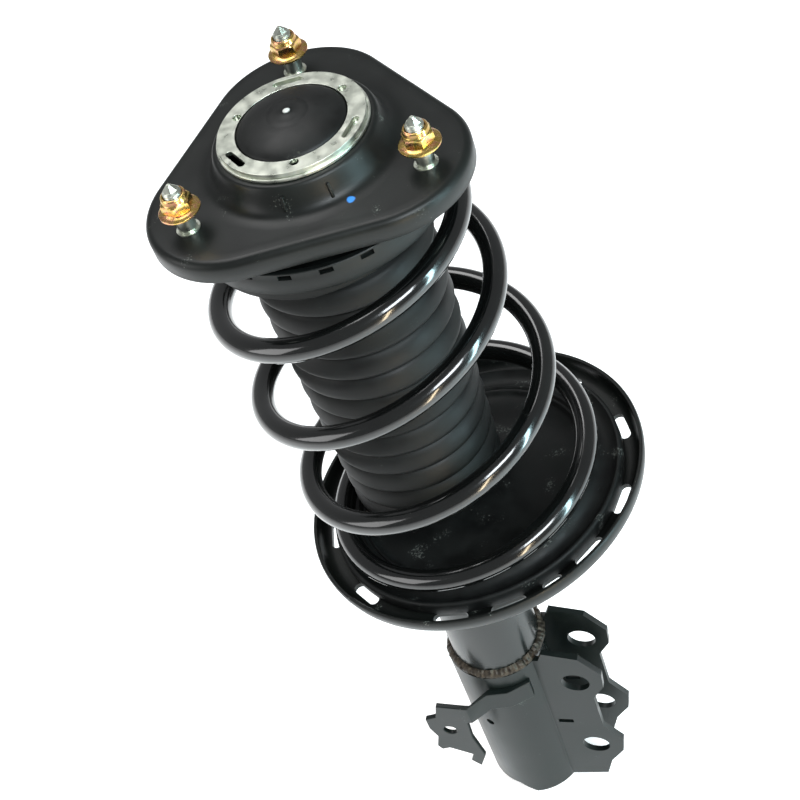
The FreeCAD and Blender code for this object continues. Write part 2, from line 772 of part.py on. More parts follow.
def lower_seat():
    """Pressed pan, its rubber pad and the sleeve under it, all cut to suit the upright tube."""
    pan = new_body("pan")
    revolve(pan, [
        ("0", "pan_floor - pan_wall"),
        ("pan_radius - 6", "pan_floor - pan_wall"),
        ("pan_radius - 3", "pan_floor"),
        ("pan_radius", "0"),
        ("pan_radius - pan_wall", "0"),
        ("pan_radius - 5.3", "pan_floor + 1.5"),
        ("pan_radius - 6.8", "pan_floor"),
        ("0", "pan_floor"),
    ])
    slots = new_sketch(pan, "XY_Plane", "pan_floor")
    for azimuth in (33, -2, -26, -60, -81.5, -120, -155, 150, 107, 70):
        slot(slots, azimuth, "slot_circle", "slot_length", "slot_width")
    slot(slots, -43, "slot_circle", "0.6 * slot_length", "slot_width")
    extrude(pan, slots, "2 * pan_wall", "Pocket")
    pan.Placement = along_spring(value("spring_height"))
    tube = primitive("Cylinder", "pan_opening", Radius="tube_radius", Height="120")
    keep(cut("lower_spring_seat", pan, place(tube, up="spring_top - spring_height - 60")), "lower_spring_seat")
    pad = new_body("pad")
    revolve(pad, [
        ("0", "pan_floor"),
        ("pad_radius", "pan_floor"),
        ("pad_radius", "-3"),
        ("pad_radius - 1.6", "-1.5"),
        ("coil_bottom + wire_radius + 0.4", "-1.5"),
        ("coil_bottom + 4", "-wire_radius - 0.3"),
        ("coil_bottom - 4", "-wire_radius - 0.3"),
        ("coil_bottom - wire_radius - 0.4", "-1.5"),
        ("coil_bottom - wire_radius - 3", "-1.5"),
        ("coil_bottom - wire_radius - 5", "-4"),
        ("0", "-4"),
    ])
    pad.Placement = along_spring(value("spring_height"))
    clear = primitive("Cylinder", "pad_opening", Radius="tube_radius + 1", Height="120")
    keep(cut("lower_insulator", pad, place(clear, up="spring_top - spring_height - 60")), "lower_insulator")
    sleeve = primitive("Cylinder", "sleeve_body", Radius="tube_radius + sleeve_wall", Height="60")
    place(sleeve, up="sleeve_bottom")
    bore = primitive("Cylinder", "sleeve_bore", Radius="tube_radius", Height="60")
    place(bore, up="sleeve_bottom")
    above = primitive("Cylinder", "sleeve_above", Radius="120", Height="90")
    above.Placement = along_spring(value("spring_height - pan_floor + pan_wall"))
    keep(cut("seat_sleeve", sleeve, fuse("sleeve_tool", [bore, above])), "seat_sleeve")


# ---------------------------------------------------------------- brackets


def knuckle_bracket():
    """Strip wrapped round the tube, with an ear on each side; two bolts cross both ears."""
    wrap = new_body("bracket_wrap")
    band = new_sketch(wrap, "XY_Plane", "bracket_bottom")
    circle(band, "0", "0", "tube_radius + bracket_wall")
    extrude(wrap, band, "160")
    ears = primitive("Box", "bracket_ears", Length="64", Width="2 * ear_face + 2 * bracket_wall", Height="160")
    place(ears, "0", "-ear_face - bracket_wall", "bracket_bottom")
    gap = primitive("Box", "bracket_gap", Length="80", Width="2 * ear_face", Height="160")
    place(gap, "0", "-ear_face", "bracket_bottom")
    core = primitive("Cylinder", "bracket_core", Radius="tube_radius", Height="160")
    place(core, up="bracket_bottom")
    strip = cut("bracket_strip", fuse("bracket_solid", [wrap, ears]), fuse("bracket_inside", [gap, core]))
    side = new_body("bracket_side")
    outline = new_sketch(side, "XZ_Plane")
    polygon(outline, [
        ("-tube_radius - 5", "bracket_top"),
        ("27", "bracket_top"),
        ("30", "bracket_top + 7"),
        ("50", "bracket_top + 2"),
        ("61", "bolt_upper + 9"),
        ("60", "bolt_upper - 4"),
        ("52.5", "bolt_upper - 16"),
        ("52.5", "bolt_upper - 48"),
        ("62", "bolt_upper - 63"),
        ("60", "bolt_upper - 76"),
        ("51", "bolt_upper - 89"),
        ("46", "bracket_bottom + 5"),
        ("2", "bracket_bottom"),
        ("-8", "bracket_bottom + 8"),
        ("-tube_radius - 5", "bracket_bottom + 8"),
    ])
    extrude(side, outline, "90", middle=True)
    common = doc.addObject("Part::Common", "bracket_blank")
    common.Base = strip
    common.Tool = side
    holes = []
    for index in (0, 1):
        hole = primitive("Cylinder", "bolt_hole_%d" % (index + 1), Radius="bolt_radius", Height="60")
        hole.Placement.Rotation = FreeCAD.Rotation(FreeCAD.Vector(1, 0, 0), 90)
        holes.append(place(hole, "bolt_reach", "30", "bolt_upper - %d * bolt_spacing" % index))
    drain = primitive("Cylinder", "drain_hole", Radius="drain_radius", Height="40")
    heading = FreeCAD.Rotation(FreeCAD.Vector(0, 0, 1), value("drain_azimuth"))
    drain.Placement.Rotation = heading.multiply(FreeCAD.Rotation(FreeCAD.Vector(0, 1, 0), 90))
    across = "(tube_radius - 2) * cos(drain_azimuth)"
    depth = "(tube_radius - 2) * sin(drain_azimuth)"
    holes.append(place(drain, across, depth, "bracket_top - 52"))
    lock = primitive("Box", "lock_slot", Length="9", Width="60", Height="3.5")
    holes.append(place(lock, "26.5", "-30", "bolt_upper - 45"))
    keep(cut("knuckle_bracket", common, fuse("bracket_holes", holes)), "knuckle_bracket")
    turned("bracket_weld", [
        ("tube_radius", "bracket_top"),
        ("tube_radius + 3", "bracket_top"),
        ("tube_radius", "bracket_top + 3"),
    ])


def hose_bracket():
    """Bent arm welded to the wrapped strip, ending in a plate with hooks for the brake hose."""
    body = new_body("hose_blank")
    arm = new_sketch(body, "XY_Plane", "bracket_top - 26")
    polygon(arm, [
        ("20", "-18"),
        ("21", "-24"),
        ("9", "-31.5"),
        ("-3", "-33.5"),
        ("-13", "hose_face - 3"),
        ("-16", "hose_face - 3"),
        ("-16", "hose_face"),
        ("-12", "hose_face"),
        ("-3", "-29.5"),
        ("6", "-26"),
    ])
    extrude(body, arm, "15")
    plate = new_sketch(body, "XZ_Plane", "-hose_face")
    polygon(plate, [
        ("-15", "bracket_top - 11"),
        ("-31", "bracket_top - 9"),
        ("-34", "bracket_top - 21"),
        ("-41", "bracket_top - 24"),
        ("-41", "bracket_top - 34"),
        ("-38", "bracket_top - 43"),
        ("-41", "bracket_top - 54"),
        ("-39", "bracket_top - 58"),
        ("-34", "bracket_top - 56"),
        ("-21", "bracket_top - 63"),
        ("-24", "bracket_top - 70"),
        ("-19", "bracket_top - 76"),
        ("-14", "bracket_top - 64"),
        ("-17", "bracket_top - 43"),
    ])
    extrude(body, plate, "3")
    hole = primitive("Cylinder", "hose_hole", Radius="hose_hole_radius", Height="20")
    hole.Placement.Rotation = FreeCAD.Rotation(FreeCAD.Vector(1, 0, 0), 90)
    place(hole, "hose_hole_x", "hose_face + 8", "hose_hole_z")
    inside = primitive("Cylinder", "hose_inside", Radius="tube_radius + bracket_wall", Height="160")
    place(inside, up="bracket_bottom")
    keep(cut("hose_bracket", body, fuse("hose_tool", [hole, inside])), "hose_bracket")


# ---------------------------------------------------------------- build, check and write

mount_plate()
studs()
for nut_index, nut_turn in enumerate((0, 120, 240), start=1):
    flange_nut(nut_index, nut_turn)
retainer_rings()
mount_core()
bearing()
upper_seat()
coil_spring()
dust_boot()
bump_stop()
rod_and_piston()
tube_and_guide()
lower_seat()
knuckle_bracket()
hose_bracket()
doc.recompute()

failed = [item.Label for item in doc.Objects if "Invalid" in item.State or "Error" in item.State]
if failed:
    raise RuntimeError("objects failed to build: " + ", ".join(failed))

os.makedirs("parts", exist_ok=True)
for node in NODES:
    shape = node.Shape
    if shape.isNull() or not shape.isValid() or not shape.Solids:
        raise RuntimeError(node.Label + " has no valid solid")
    print("%-22s solids %d  volume %.0f" % (node.Label, len(shape.Solids), shape.Volume))
for node in NODES:
    node.Shape.exportStep("parts/%s.step" % node.Label)
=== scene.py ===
"""Looks of a front suspension strut assembly: one operator for each piece, and one for the stage."""
import math

import bmesh
import bpy
from mathutils import Matrix, Vector, noise


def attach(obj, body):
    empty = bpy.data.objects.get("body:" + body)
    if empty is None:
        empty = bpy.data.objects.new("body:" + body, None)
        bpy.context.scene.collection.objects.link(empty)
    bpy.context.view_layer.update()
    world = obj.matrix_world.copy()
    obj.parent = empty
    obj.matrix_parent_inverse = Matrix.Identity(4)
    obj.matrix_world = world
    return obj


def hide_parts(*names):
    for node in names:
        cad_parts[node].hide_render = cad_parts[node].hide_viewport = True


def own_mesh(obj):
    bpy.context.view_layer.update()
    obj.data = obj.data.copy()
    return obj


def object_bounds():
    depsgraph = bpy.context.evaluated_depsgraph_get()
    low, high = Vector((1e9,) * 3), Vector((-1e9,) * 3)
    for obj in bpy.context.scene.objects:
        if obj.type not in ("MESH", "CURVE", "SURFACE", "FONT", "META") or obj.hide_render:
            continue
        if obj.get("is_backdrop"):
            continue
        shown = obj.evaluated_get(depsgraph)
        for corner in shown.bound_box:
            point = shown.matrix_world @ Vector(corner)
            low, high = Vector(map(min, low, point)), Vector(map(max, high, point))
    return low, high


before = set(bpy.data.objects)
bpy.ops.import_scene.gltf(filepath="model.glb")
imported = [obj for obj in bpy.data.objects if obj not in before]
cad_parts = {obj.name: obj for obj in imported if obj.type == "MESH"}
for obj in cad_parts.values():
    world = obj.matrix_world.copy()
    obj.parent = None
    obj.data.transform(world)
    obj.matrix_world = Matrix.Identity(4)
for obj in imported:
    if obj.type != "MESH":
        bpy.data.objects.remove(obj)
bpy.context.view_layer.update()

bl_info = {
    "name": "Strut assembly looks",
    "version": (1, 0, 0),
    "blender": (4, 5, 0),
    "location": "View3D > Sidebar > Strut",
    "description": "Builds the visible pieces of a suspension strut round its packed frame",
    "category": "Object",
}

# Lengths are in millimetres and angles in degrees, unless a name or a unit says otherwise.
MM = 0.001
STUD_AZIMUTHS = (106.9, 226.9, 346.9)
STUD_CIRCLE = 58
NUT_SEAT = 10
SPRING_TOP = -39.5
SPRING_LEAN = 7.5
LEAN_AZIMUTH = -9
SEAT_DROP = 178
TUBE_RADIUS = 25.5
POCKETS = 21
CREASE = 38

# Reflection of bare rubber, plastic and satin paint, and of metal and coated paint.
SATIN_SPECULAR, FULL_SPECULAR = 0.28, 0.5


def linear(code):
    """Linear colour of an sRGB hex value."""
    channels = [int(code[start:start + 2], 16) / 255 for start in (1, 3, 5)]
    return tuple(c / 12.92 if c <= 0.04045 else ((c + 0.055) / 1.055) ** 2.4 for c in channels) + (1.0,)


# ---------------------------------------------------------------- sizes and colours


class PlateSizes(bpy.types.PropertyGroup):
    corner_radius: bpy.props.FloatProperty(
        name="Corner radius", description="Radius of the plate's three corners", default=0.041,
        unit="LENGTH")
    corner_reach: bpy.props.FloatProperty(
        name="Corner reach", description="Distance of the corner centres from the axis", default=0.0335,
        unit="LENGTH")
    thread_pitch: bpy.props.FloatProperty(
        name="Thread pitch", description="Pitch of the stud threads", default=0.00125, unit="LENGTH",
        precision=5)


class SpringSizes(bpy.types.PropertyGroup):
    wire_radius: bpy.props.FloatProperty(
        name="Wire radius", description="Radius of the coil spring's wire", default=0.0055, unit="LENGTH")
    top_radius: bpy.props.FloatProperty(
        name="Top coil radius", description="Radius of the wire's centre at the top", default=0.0576,
        unit="LENGTH")
    bottom_radius: bpy.props.FloatProperty(
        name="Bottom coil radius", description="Radius of the wire's centre at the seat", default=0.0686,
        unit="LENGTH")


class BootSizes(bpy.types.PropertyGroup):
    folds: bpy.props.IntProperty(name="Folds", description="Number of bellows folds", default=12, min=3)
    top_radius: bpy.props.FloatProperty(
        name="Top fold radius", description="Radius of the first fold's lip", default=0.0427,
        unit="LENGTH")
    bottom_radius: bpy.props.FloatProperty(
        name="Bottom fold radius", description="Radius of the last fold's lip", default=0.0388,
        unit="LENGTH")


class Colours(bpy.types.PropertyGroup):
    plate_dark: bpy.props.FloatVectorProperty(
        name="Plate paint, dark", description="Darker cloud of the plate's paint", default=linear("#0C0E0D"),
        size=4, min=0, max=1, subtype="COLOR")
    plate_light: bpy.props.FloatVectorProperty(
        name="Plate paint, light", description="Lighter cloud of the plate's paint",
        default=linear("#121513"), size=4, min=0, max=1, subtype="COLOR")
    bracket_dark: bpy.props.FloatVectorProperty(
        name="Bracket paint, dark", description="Darker cloud of the brackets' paint",
        default=linear("#0D1211"), size=4, min=0, max=1, subtype="COLOR")
    bracket_light: bpy.props.FloatVectorProperty(
        name="Bracket paint, light", description="Lighter cloud of the brackets' paint",
        default=linear("#131A18"), size=4, min=0, max=1, subtype="COLOR")
    spring_enamel: bpy.props.FloatVectorProperty(
        name="Spring enamel", description="Darker cloud of the spring's enamel", default=linear("#070808"),
        size=4, min=0, max=1, subtype="COLOR")
    paint_dot: bpy.props.FloatVectorProperty(
        name="Paint dot", description="Colour of the inspection dot", default=linear("#2F7FD0"), size=4,
        min=0, max=1, subtype="COLOR")


class StageSettings(bpy.types.PropertyGroup):
    floor_drop: bpy.props.FloatProperty(
        name="Floor drop", description="Gap between the lowest edge and the floor", default=0.001,
        unit="LENGTH")
    world_strength: bpy.props.FloatProperty(
        name="Surround strength", description="Brightness of the studio's walls", default=0.32, min=0)


def settings(group):
    """The scene's settings of one group."""
    return getattr(bpy.context.scene, "strut_" + group)


# ---------------------------------------------------------------- node helpers


def add_node(tree, kind, values=None, links=None):
    """Add a shader node, set its attributes and inputs, and link its inputs."""
    node = tree.nodes.new(kind)
    for key, value in (values or {}).items():
        if isinstance(key, int) or key in node.inputs:
            node.inputs[key].default_value = value
        else:
            setattr(node, key, value)
    for key, source in (links or {}).items():
        tree.links.new(source, node.inputs[key])
    return node


def new_finish(name):
    """Empty material with its tree, its shader and its object coordinates."""
    material = bpy.data.materials.new(name)
    material.use_nodes = True
    tree = material.node_tree
    tree.nodes.clear()
    place = add_node(tree, "ShaderNodeTexCoord").outputs["Object"]
    shader = add_node(tree, "ShaderNodeBsdfPrincipled")
    add_node(tree, "ShaderNodeOutputMaterial", links={"Surface": shader.outputs["BSDF"]})
    return material, tree, shader, place


def surface(name, dark, light, patch, shine, grit, relief, metallic=0.0, coat=0.0, marks=None):
    """Finish with clouded colour and roughness and a fine relief.

    patch is the clouds' size, shine their two roughnesses, grit the relief's grain and relief its
    height. marks is (colour, size, threshold, roughness) of small specks or scuffs. Grain finer than a
    quarter of a millimetre wouldn't show, so finer real grain is drawn that coarse.
    """
    material, tree, shader, place = new_finish(name)
    shader.inputs["Metallic"].default_value = metallic
    shader.inputs["Specular IOR Level"].default_value = FULL_SPECULAR if metallic or coat else SATIN_SPECULAR
    shader.inputs["Coat Weight"].default_value = coat
    shader.inputs["Coat Roughness"].default_value = 0.06
    clouds = add_node(tree, "ShaderNodeTexNoise", {"Scale": 1 / (patch * MM), "Detail": 4.0},
                      {"Vector": place})
    spread = add_node(tree, "ShaderNodeMapRange", {"From Min": 0.32, "From Max": 0.68},
                      {"Value": clouds.outputs["Fac"]}).outputs["Result"]
    colour = add_node(tree, "ShaderNodeMix", {"data_type": "RGBA", 6: dark, 7: light}, {0: spread}).outputs[2]
    rough = add_node(tree, "ShaderNodeMapRange", {"To Min": shine[0], "To Max": shine[1]},
                     {"Value": spread}).outputs["Result"]
    if marks:
        tone, size, threshold, dull = marks
        specks = add_node(tree, "ShaderNodeTexNoise",
                          {"Scale": 1 / (size * MM), "Detail": 6.0, "Roughness": 0.7}, {"Vector": place})
        field = add_node(tree, "ShaderNodeTexNoise", {"Scale": 1 / (size * 12 * MM), "Detail": 1.0},
                         {"Vector": place})
        both = add_node(tree, "ShaderNodeMath", {"operation": "MULTIPLY"},
                        {0: specks.outputs["Fac"], 1: field.outputs["Fac"]})
        mask = add_node(tree, "ShaderNodeMapRange", {"From Min": threshold, "From Max": threshold + 0.06},
                        {"Value": both.outputs[0]}).outputs["Result"]
        colour = add_node(tree, "ShaderNodeMix", {"data_type": "RGBA", 7: tone},
                          {0: mask, 6: colour}).outputs[2]
        rough = add_node(tree, "ShaderNodeMix", {"data_type": "FLOAT", 3: dull},
                         {0: mask, 2: rough}).outputs[0]
    grain = add_node(tree, "ShaderNodeTexNoise", {"Scale": 1 / (grit * MM), "Detail": 3.0},
                     {"Vector": place})
    bump = add_node(tree, "ShaderNodeBump", {"Distance": relief * MM}, {"Height": grain.outputs["Fac"]})
    tree.links.new(colour, shader.inputs["Base Color"])
    tree.links.new(rough, shader.inputs["Roughness"])
    tree.links.new(bump.outputs["Normal"], shader.inputs["Normal"])
    return material


def paint_over(material, colour, mask):
    """Lay a colour over a finish's own colour, where the mask is 1."""
    tree = material.node_tree
    base = tree.nodes["Principled BSDF"].inputs["Base Color"]
    mixed = add_node(tree, "ShaderNodeMix", {"data_type": "RGBA", 7: colour},
                     {0: mask, 6: base.links[0].from_socket})
    tree.links.new(mixed.outputs[2], base)
    return material


# ---------------------------------------------------------------- finishes


def electrocoated_steel():
    """Pressed steel, electrocoated: even satin black with a slight orange peel and a few chips."""
    colours = settings("colours")
    return surface("electrocoated_pressed_steel", colours.plate_dark, colours.plate_light, 25, (0.34, 0.44),
                   0.9, 0.012, marks=(linear("#6E726C"), 0.9, 0.41, 0.7))


def plate_finish():
    """The same electrocoat with one dab of inspection paint beside the boss, its edge uneven."""
    dab_centre, dab_edge = (0.0293, -0.0317, 0.0006), (0.0019, 0.0013)
    material = electrocoated_steel()
    material.name = "electrocoated_steel_with_dot"
    tree = material.node_tree
    place = tree.nodes["Texture Coordinate"].outputs["Object"]
    wobble = add_node(tree, "ShaderNodeTexNoise", {"Scale": 400.0}, {"Vector": place})
    shifted = add_node(tree, "ShaderNodeVectorMath", {"operation": "SCALE", "Scale": 0.0012},
                       {0: wobble.outputs["Color"]})
    edged = add_node(tree, "ShaderNodeVectorMath", {"operation": "ADD"}, {0: place, 1: shifted.outputs[0]})
    reach = add_node(tree, "ShaderNodeVectorMath", {"operation": "DISTANCE", 1: dab_centre},
                     {0: edged.outputs[0]})
    dab = add_node(tree, "ShaderNodeMapRange", {"From Min": dab_edge[0], "From Max": dab_edge[1]},
                   {"Value": reach.outputs["Value"]})
    return paint_over(material, settings("colours").paint_dot, dab.outputs["Result"])


def bracket_paint():
    """Pressed steel in a thin grey-green black paint: satin, with soft clouding."""
    colours = settings("colours")
    return surface("satin_painted_steel", colours.bracket_dark, colours.bracket_light, 30, (0.30, 0.40),
                   0.8, 0.01, marks=(linear("#59605C"), 0.8, 0.43, 0.6))


def tube_paint():
    """Drawn tube in the same paint, glossier because the tube is smooth."""
    return surface("gloss_painted_tube", linear("#0B0F0E"), linear("#101615"), 35, (0.24, 0.32), 1.2, 0.006,
                   coat=0.15)


def spring_enamel():
    """Spring wire, powder coated and glossy black: long sharp highlights with a slight waviness."""
    return surface("powder_coated_spring_wire", settings("colours").spring_enamel, linear("#0B0D0C"), 18,
                   (0.13, 0.2), 2.5, 0.02, coat=0.6, marks=(linear("#3B3D39"), 0.7, 0.44, 0.5))


def zinc_plate():
    """Steel, bright zinc plated and passivated: pale, faintly green, clouded and lightly scuffed."""
    return surface("zinc_plated_steel", linear("#BCC1B5"), linear("#D9DCD0"), 5, (0.26, 0.42), 0.35, 0.006,
                   metallic=1.0, marks=(linear("#9DA196"), 0.8, 0.42, 0.5))


def yellow_zinc_plate():
    """Steel, yellow chromated zinc: gold with pink and green interference clouds."""
    material, tree, shader, place = new_finish("yellow_chromated_zinc")
    shader.inputs["Metallic"].default_value = 1.0
    clouds = add_node(tree, "ShaderNodeTexNoise",
                      {"Scale": 1 / (4.5 * MM), "Detail": 2.0, "Distortion": 1.2}, {"Vector": place})
    ramp = add_node(tree, "ShaderNodeValToRGB", links={"Fac": clouds.outputs["Fac"]})
    green, gold, straw, pink = (linear(code) for code in ("#A9A662", "#C9A558", "#DDBB74", "#D79A7C"))
    stops = ramp.color_ramp.elements
    stops[0].position, stops[0].color = 0.30, green
    stops[1].position, stops[1].color = 0.42, gold
    for position, colour in ((0.52, straw), (0.60, pink), (0.70, gold)):
        stops.new(position).color = colour
    wear = add_node(tree, "ShaderNodeTexNoise", {"Scale": 1 / (0.6 * MM), "Detail": 3.0}, {"Vector": place})
    rough = add_node(tree, "ShaderNodeMapRange", {"To Min": 0.16, "To Max": 0.34},
                     {"Value": wear.outputs["Fac"]})
    bump = add_node(tree, "ShaderNodeBump", {"Distance": 0.006 * MM}, {"Height": wear.outputs["Fac"]})
    tree.links.new(ramp.outputs["Color"], shader.inputs["Base Color"])
    tree.links.new(rough.outputs["Result"], shader.inputs["Roughness"])
    tree.links.new(bump.outputs["Normal"], shader.inputs["Normal"])
    return material


def bellows_rubber():
    """Moulded synthetic rubber: matt black with a faint grey bloom."""
    return surface("moulded_bellows_rubber", linear("#090A0A"), linear("#101211"), 14, (0.46, 0.6), 0.5,
                   0.012, marks=(linear("#2C2F2D"), 1.2, 0.42, 0.8))


def seat_rubber():
    """Moulded seat rubber: matt black, dusty, with pale handling scuffs and specks."""
    return surface("dusty_seat_rubber", linear("#0A0B0B"), linear("#131514"), 9, (0.5, 0.68), 0.7, 0.03,
                   marks=(linear("#5A5D59"), 1.1, 0.36, 0.85))


def cap_rubber():
    """Moulded rubber cap: satin black, with a pale painted highlight on the nipple at its middle."""
    # inner and outer radius of the pale dot of painted highlight on the nipple's top
    painted_highlight_edge = (0.0017, 0.0013)
    material = surface("moulded_cap_rubber", linear("#0B0C0B"), linear("#131413"), 8, (0.42, 0.55), 0.6,
                       0.012, marks=(linear("#34352F"), 1.4, 0.38, 0.75))
    tree = material.node_tree
    place = tree.nodes["Texture Coordinate"].outputs["Object"]
    level = add_node(tree, "ShaderNodeVectorMath", {"operation": "MULTIPLY", 1: (1, 1, 0)}, {0: place})
    reach = add_node(tree, "ShaderNodeVectorMath", {"operation": "LENGTH"}, {0: level.outputs[0]})
    # pale dot over the nipple at the middle: a painted highlight, the lights' glint painted into the colour
    painted_highlight = add_node(tree, "ShaderNodeMapRange", {"From Min": painted_highlight_edge[0], "From Max": painted_highlight_edge[1]},
                    {"Value": reach.outputs["Value"]})
    return paint_over(material, linear("#C9CBC6"), painted_highlight.outputs["Result"])


def moulded_nylon():
    """Glass-filled nylon, moulded: black with a grey-green cast and a soft sheen."""
    return surface("glass_filled_nylon", linear("#0C0E0D"), linear("#131716"), 12, (0.38, 0.5), 0.5, 0.01)


def weld_steel():
    """Electric arc weld bead: rippled, brown-grey and partly scaled."""
    return surface("arc_weld_bead", linear("#211C18"), linear("#4A4238"), 2.4, (0.35, 0.62), 0.8, 0.12,
                   metallic=0.6, marks=(linear("#7F776A"), 0.9, 0.40, 0.4))


def foam():
    """Cellular polyurethane: dull tan-grey with open pores."""
    return surface("cellular_polyurethane", linear("#4A4538"), linear("#5E5846"), 6, (0.8, 0.95), 0.7, 0.15)


def turned_steel():
    """Bare steel, turned: mid grey, clean, with a fine grain."""
    return surface("turned_steel", linear("#85888A"), linear("#A4A7A8"), 8, (0.25, 0.36), 0.25, 0.008,
                   metallic=1.0)


def hard_chrome():
    """Rod steel, hard chromed and ground: mirror bright."""
    return surface("hard_chromed_rod", linear("#CDD1D3"), linear("#DADDDE"), 20, (0.05, 0.09), 0.3, 0.001,
                   metallic=1.0)


MADE = {}


def finish(maker):
    """Material made by this function, built once."""
    if maker not in MADE:
        MADE[maker] = maker()
    return MADE[maker]


# ---------------------------------------------------------------- mesh helpers


def shade(mesh, crease):
    """Smooth shading, broken along edges sharper than the crease."""
    mesh.polygons.foreach_set("use_smooth", [True] * len(mesh.polygons))
    mesh.set_sharp_from_angle(angle=math.radians(crease))


def piece(bm, name, maker, body, nodes, edge=0.0, crease=CREASE):
    """Turn a bmesh into a named piece that rides on a body and stands for CAD nodes.

    edge is the radius of a live bevel on edges sharper than the crease.
    """
    mesh = bpy.data.meshes.new(name)
    bm.to_mesh(mesh)
    bm.free()
    item = bpy.data.objects.new(name, mesh)
    bpy.context.scene.collection.objects.link(item)
    mesh.materials.append(finish(maker))
    shade(mesh, crease)
    if edge:
        radius = item.modifiers.new("edge_radius", "BEVEL")
        radius.width = edge * MM
        radius.segments = 3
        radius.limit_method = "ANGLE"
        radius.angle_limit = math.radians(crease)
        radius.harden_normals = True
    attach(item, body)
    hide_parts(*nodes)
    return item


def spin_into(bm, outline, steps, angle=math.tau, start=0.0):
    """Turn an outline of (radius, height) corners about the Z axis, and return the new faces.

    angle and start are in radians. An outline that doesn't end on the axis is closed.
    """
    corners = [bm.verts.new((radius * MM, 0, height * MM)) for radius, height in outline]
    pairs = list(zip(corners, corners[1:]))
    if outline[0][0] or outline[-1][0]:
        pairs.append((corners[-1], corners[0]))
    edges = [bm.edges.new(pair) for pair in pairs]
    if start:
        bmesh.ops.rotate(bm, verts=corners, matrix=Matrix.Rotation(start, 3, "Z"))
    full = angle == math.tau
    before = set(bm.faces)
    bmesh.ops.spin(bm, geom=corners + edges, axis=(0, 0, 1), angle=angle, steps=steps, use_merge=full)
    return [face for face in bm.faces if face not in before]


def spun(outline, steps):
    """New closed mesh turned from one outline."""
    bm = bmesh.new()
    spin_into(bm, outline, steps)
    close_up(bm)
    return bm


def close_up(bm):
    """Merge the seams and poles and point the faces outwards."""
    bmesh.ops.remove_doubles(bm, verts=bm.verts, dist=0.002 * MM)
    bmesh.ops.dissolve_degenerate(bm, edges=bm.edges, dist=0.001 * MM)
    bmesh.ops.recalc_face_normals(bm, faces=bm.faces)


def heading(azimuth):
    """Level direction at this azimuth."""
    return Vector((math.cos(math.radians(azimuth)), math.sin(math.radians(azimuth)), 0))


def lofted(shape, profile, segments):
    """Closed mesh that runs from ring to ring of a profile and back to its first ring.

    shape gives the place of a ring's numbered vertex for one entry of the profile.
    """
    bm = bmesh.new()
    number = bm.verts.layers.int.new("number")
    ring = bmesh.ops.create_circle(bm, segments=segments, radius=1.0)["verts"]
    for index, vert in enumerate(ring):
        vert[number] = index
        vert.co = Vector(shape(index, profile[0])) * MM
    for corners in profile[1:] + profile[:1]:
        edges = list({edge for vert in ring for edge in vert.link_edges
                      if all(end in ring for end in edge.verts)})
        made = bmesh.ops.extrude_edge_only(bm, edges=edges)["geom"]
        ring = [item for item in made if isinstance(item, bmesh.types.BMVert)]
        for vert in ring:
            vert.co = Vector(shape(vert[number], corners)) * MM
    close_up(bm)
    return bm


def block(bm, size, matrix, edge=0.3):
    """Add a small block with rounded edges."""
    made = bmesh.ops.create_cube(bm, size=1.0)["verts"]
    bmesh.ops.scale(bm, verts=made, vec=[length * MM for length in size])
    edges = list({e for vert in made for e in vert.link_edges})
    rounded = bmesh.ops.bevel(bm, geom=edges, offset=edge * MM, offset_type="OFFSET", affect="EDGES",
                              segments=2, profile=0.5, material=-1)
    whole = list({vert for face in rounded["faces"] for vert in face.verts})
    bmesh.ops.transform(bm, verts=whole, matrix=matrix)


def seat_matrix(distance=SEAT_DROP):
    """Placement on the spring's axis, which leans outward towards the bottom."""
    turn = Matrix.Rotation(math.radians(LEAN_AZIMUTH), 4, "Z")
    turn @= Matrix.Rotation(math.radians(-SPRING_LEAN), 4, "Y")
    top = Matrix.Translation((0, 0, SPRING_TOP * MM)) @ turn
    return top @ Matrix.Translation((0, 0, -distance * MM))


def cut_away(item, bm):
    """Cut a tool mesh out of a piece for good, before its other modifiers."""
    mesh = bpy.data.meshes.new("tool")
    bm.to_mesh(mesh)
    bm.free()
    tool = bpy.data.objects.new("tool", mesh)
    bpy.context.scene.collection.objects.link(tool)
    others = list(item.modifiers)
    for modifier in others:
        modifier.show_viewport = False
    cut = item.modifiers.new("cut", "BOOLEAN")
    cut.operation = "DIFFERENCE"
    cut.solver = "EXACT"
    cut.object = tool
    bpy.context.view_layer.update()
    evaluated = item.evaluated_get(bpy.context.evaluated_depsgraph_get())
    result = bpy.data.meshes.new_from_object(evaluated)
    if not result.polygons:
        raise RuntimeError("nothing is left of %s after its cut" % item.name)
    item.modifiers.remove(cut)
    for modifier in item.modifiers:
        modifier.show_viewport = True
    bpy.data.objects.remove(tool)
    item.data = result
    shade(result, CREASE)


def copied(node):
    """Merged copy of a CAD node's mesh with its flat faces dissolved."""
    flat = math.radians(0.6)
    bm = bmesh.new()
    bm.from_mesh(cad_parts[node].data)
    bmesh.ops.remove_doubles(bm, verts=bm.verts, dist=0.002 * MM)
    bmesh.ops.dissolve_limit(bm, angle_limit=flat, verts=bm.verts, edges=bm.edges)
    return bm


# ---------------------------------------------------------------- operators: top mount


def plate_place(index, corners):
    """Place of one of 120 vertices on a rounded triangle; a reach of 0 gives a circle."""
    reach, radius, height = corners
    corner = STUD_AZIMUTHS[index // 40]
    outward = heading(corner - 58.5 + 3 * (index % 40))
    return outward * radius + heading(corner) * reach + Vector((0, 0, height))


